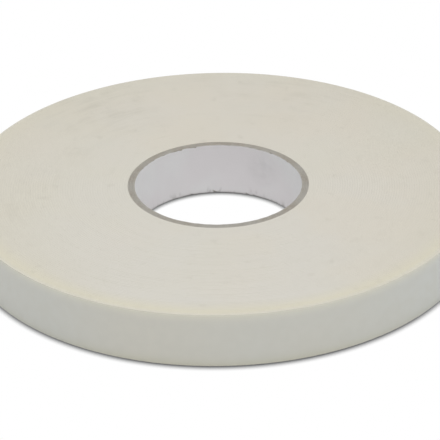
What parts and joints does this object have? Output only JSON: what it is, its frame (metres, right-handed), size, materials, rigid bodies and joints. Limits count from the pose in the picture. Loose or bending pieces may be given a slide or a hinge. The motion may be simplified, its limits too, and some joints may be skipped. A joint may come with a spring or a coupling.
{
  "type": "roll of foam mounting tape",
  "caption": "Flat roll of double-sided foam mounting tape wound on a paper core, release liner outwards; the tape's end lifts off the roll and the liner's end peels off the foam.",
  "frame": {"origin": "middle of the roll's lower face, on the roll's axis", "axes": "+Z along the roll's axis, up when the roll lies flat; the cut end of the tape lies a little past +X towards +Y"},
  "size_m": [0.2313, 0.2307, 0.025],
  "materials": {
    "white_paper": "matte",
    "grey_board": "matte",
    "foam": "matte",
    "adhesive": "gloss",
    "release_liner": "satin"
  },
  "bodies": {
    "roll": {"core_lining": "white_paper", "core_ply_1": "grey_board", "core_ply_2": "grey_board", "core_ply_3": "grey_board", "core_ply_4": "grey_board", "wound_laps": "foam", "last_lap_inner_adhesive": "adhesive", "last_lap_foam": "foam", "last_lap_outer_adhesive": "adhesive", "last_lap_liner": "release_liner"},
    "tape_end": {"tape_end_inner_adhesive": "adhesive", "tape_end_foam": "foam", "tape_end_outer_adhesive": "adhesive", "tape_end_liner": "release_liner"},
    "liner_end": {"liner_end": "release_liner"}
  },
  "joints": [
    {"name": "tape_end_lift", "type": "hinge", "parent": "roll", "child": "tape_end", "pos_m": [0.11352, -0.02338, 0.0125], "axis": [0, 0, -1], "range_deg": [0, 75]},
    {"name": "liner_end_peel", "type": "hinge", "parent": "tape_end", "child": "liner_end", "pos_m": [0.11593, 0.00144, 0.0125], "axis": [0, 0, -1], "range_deg": [0, 120]}
  ]
}
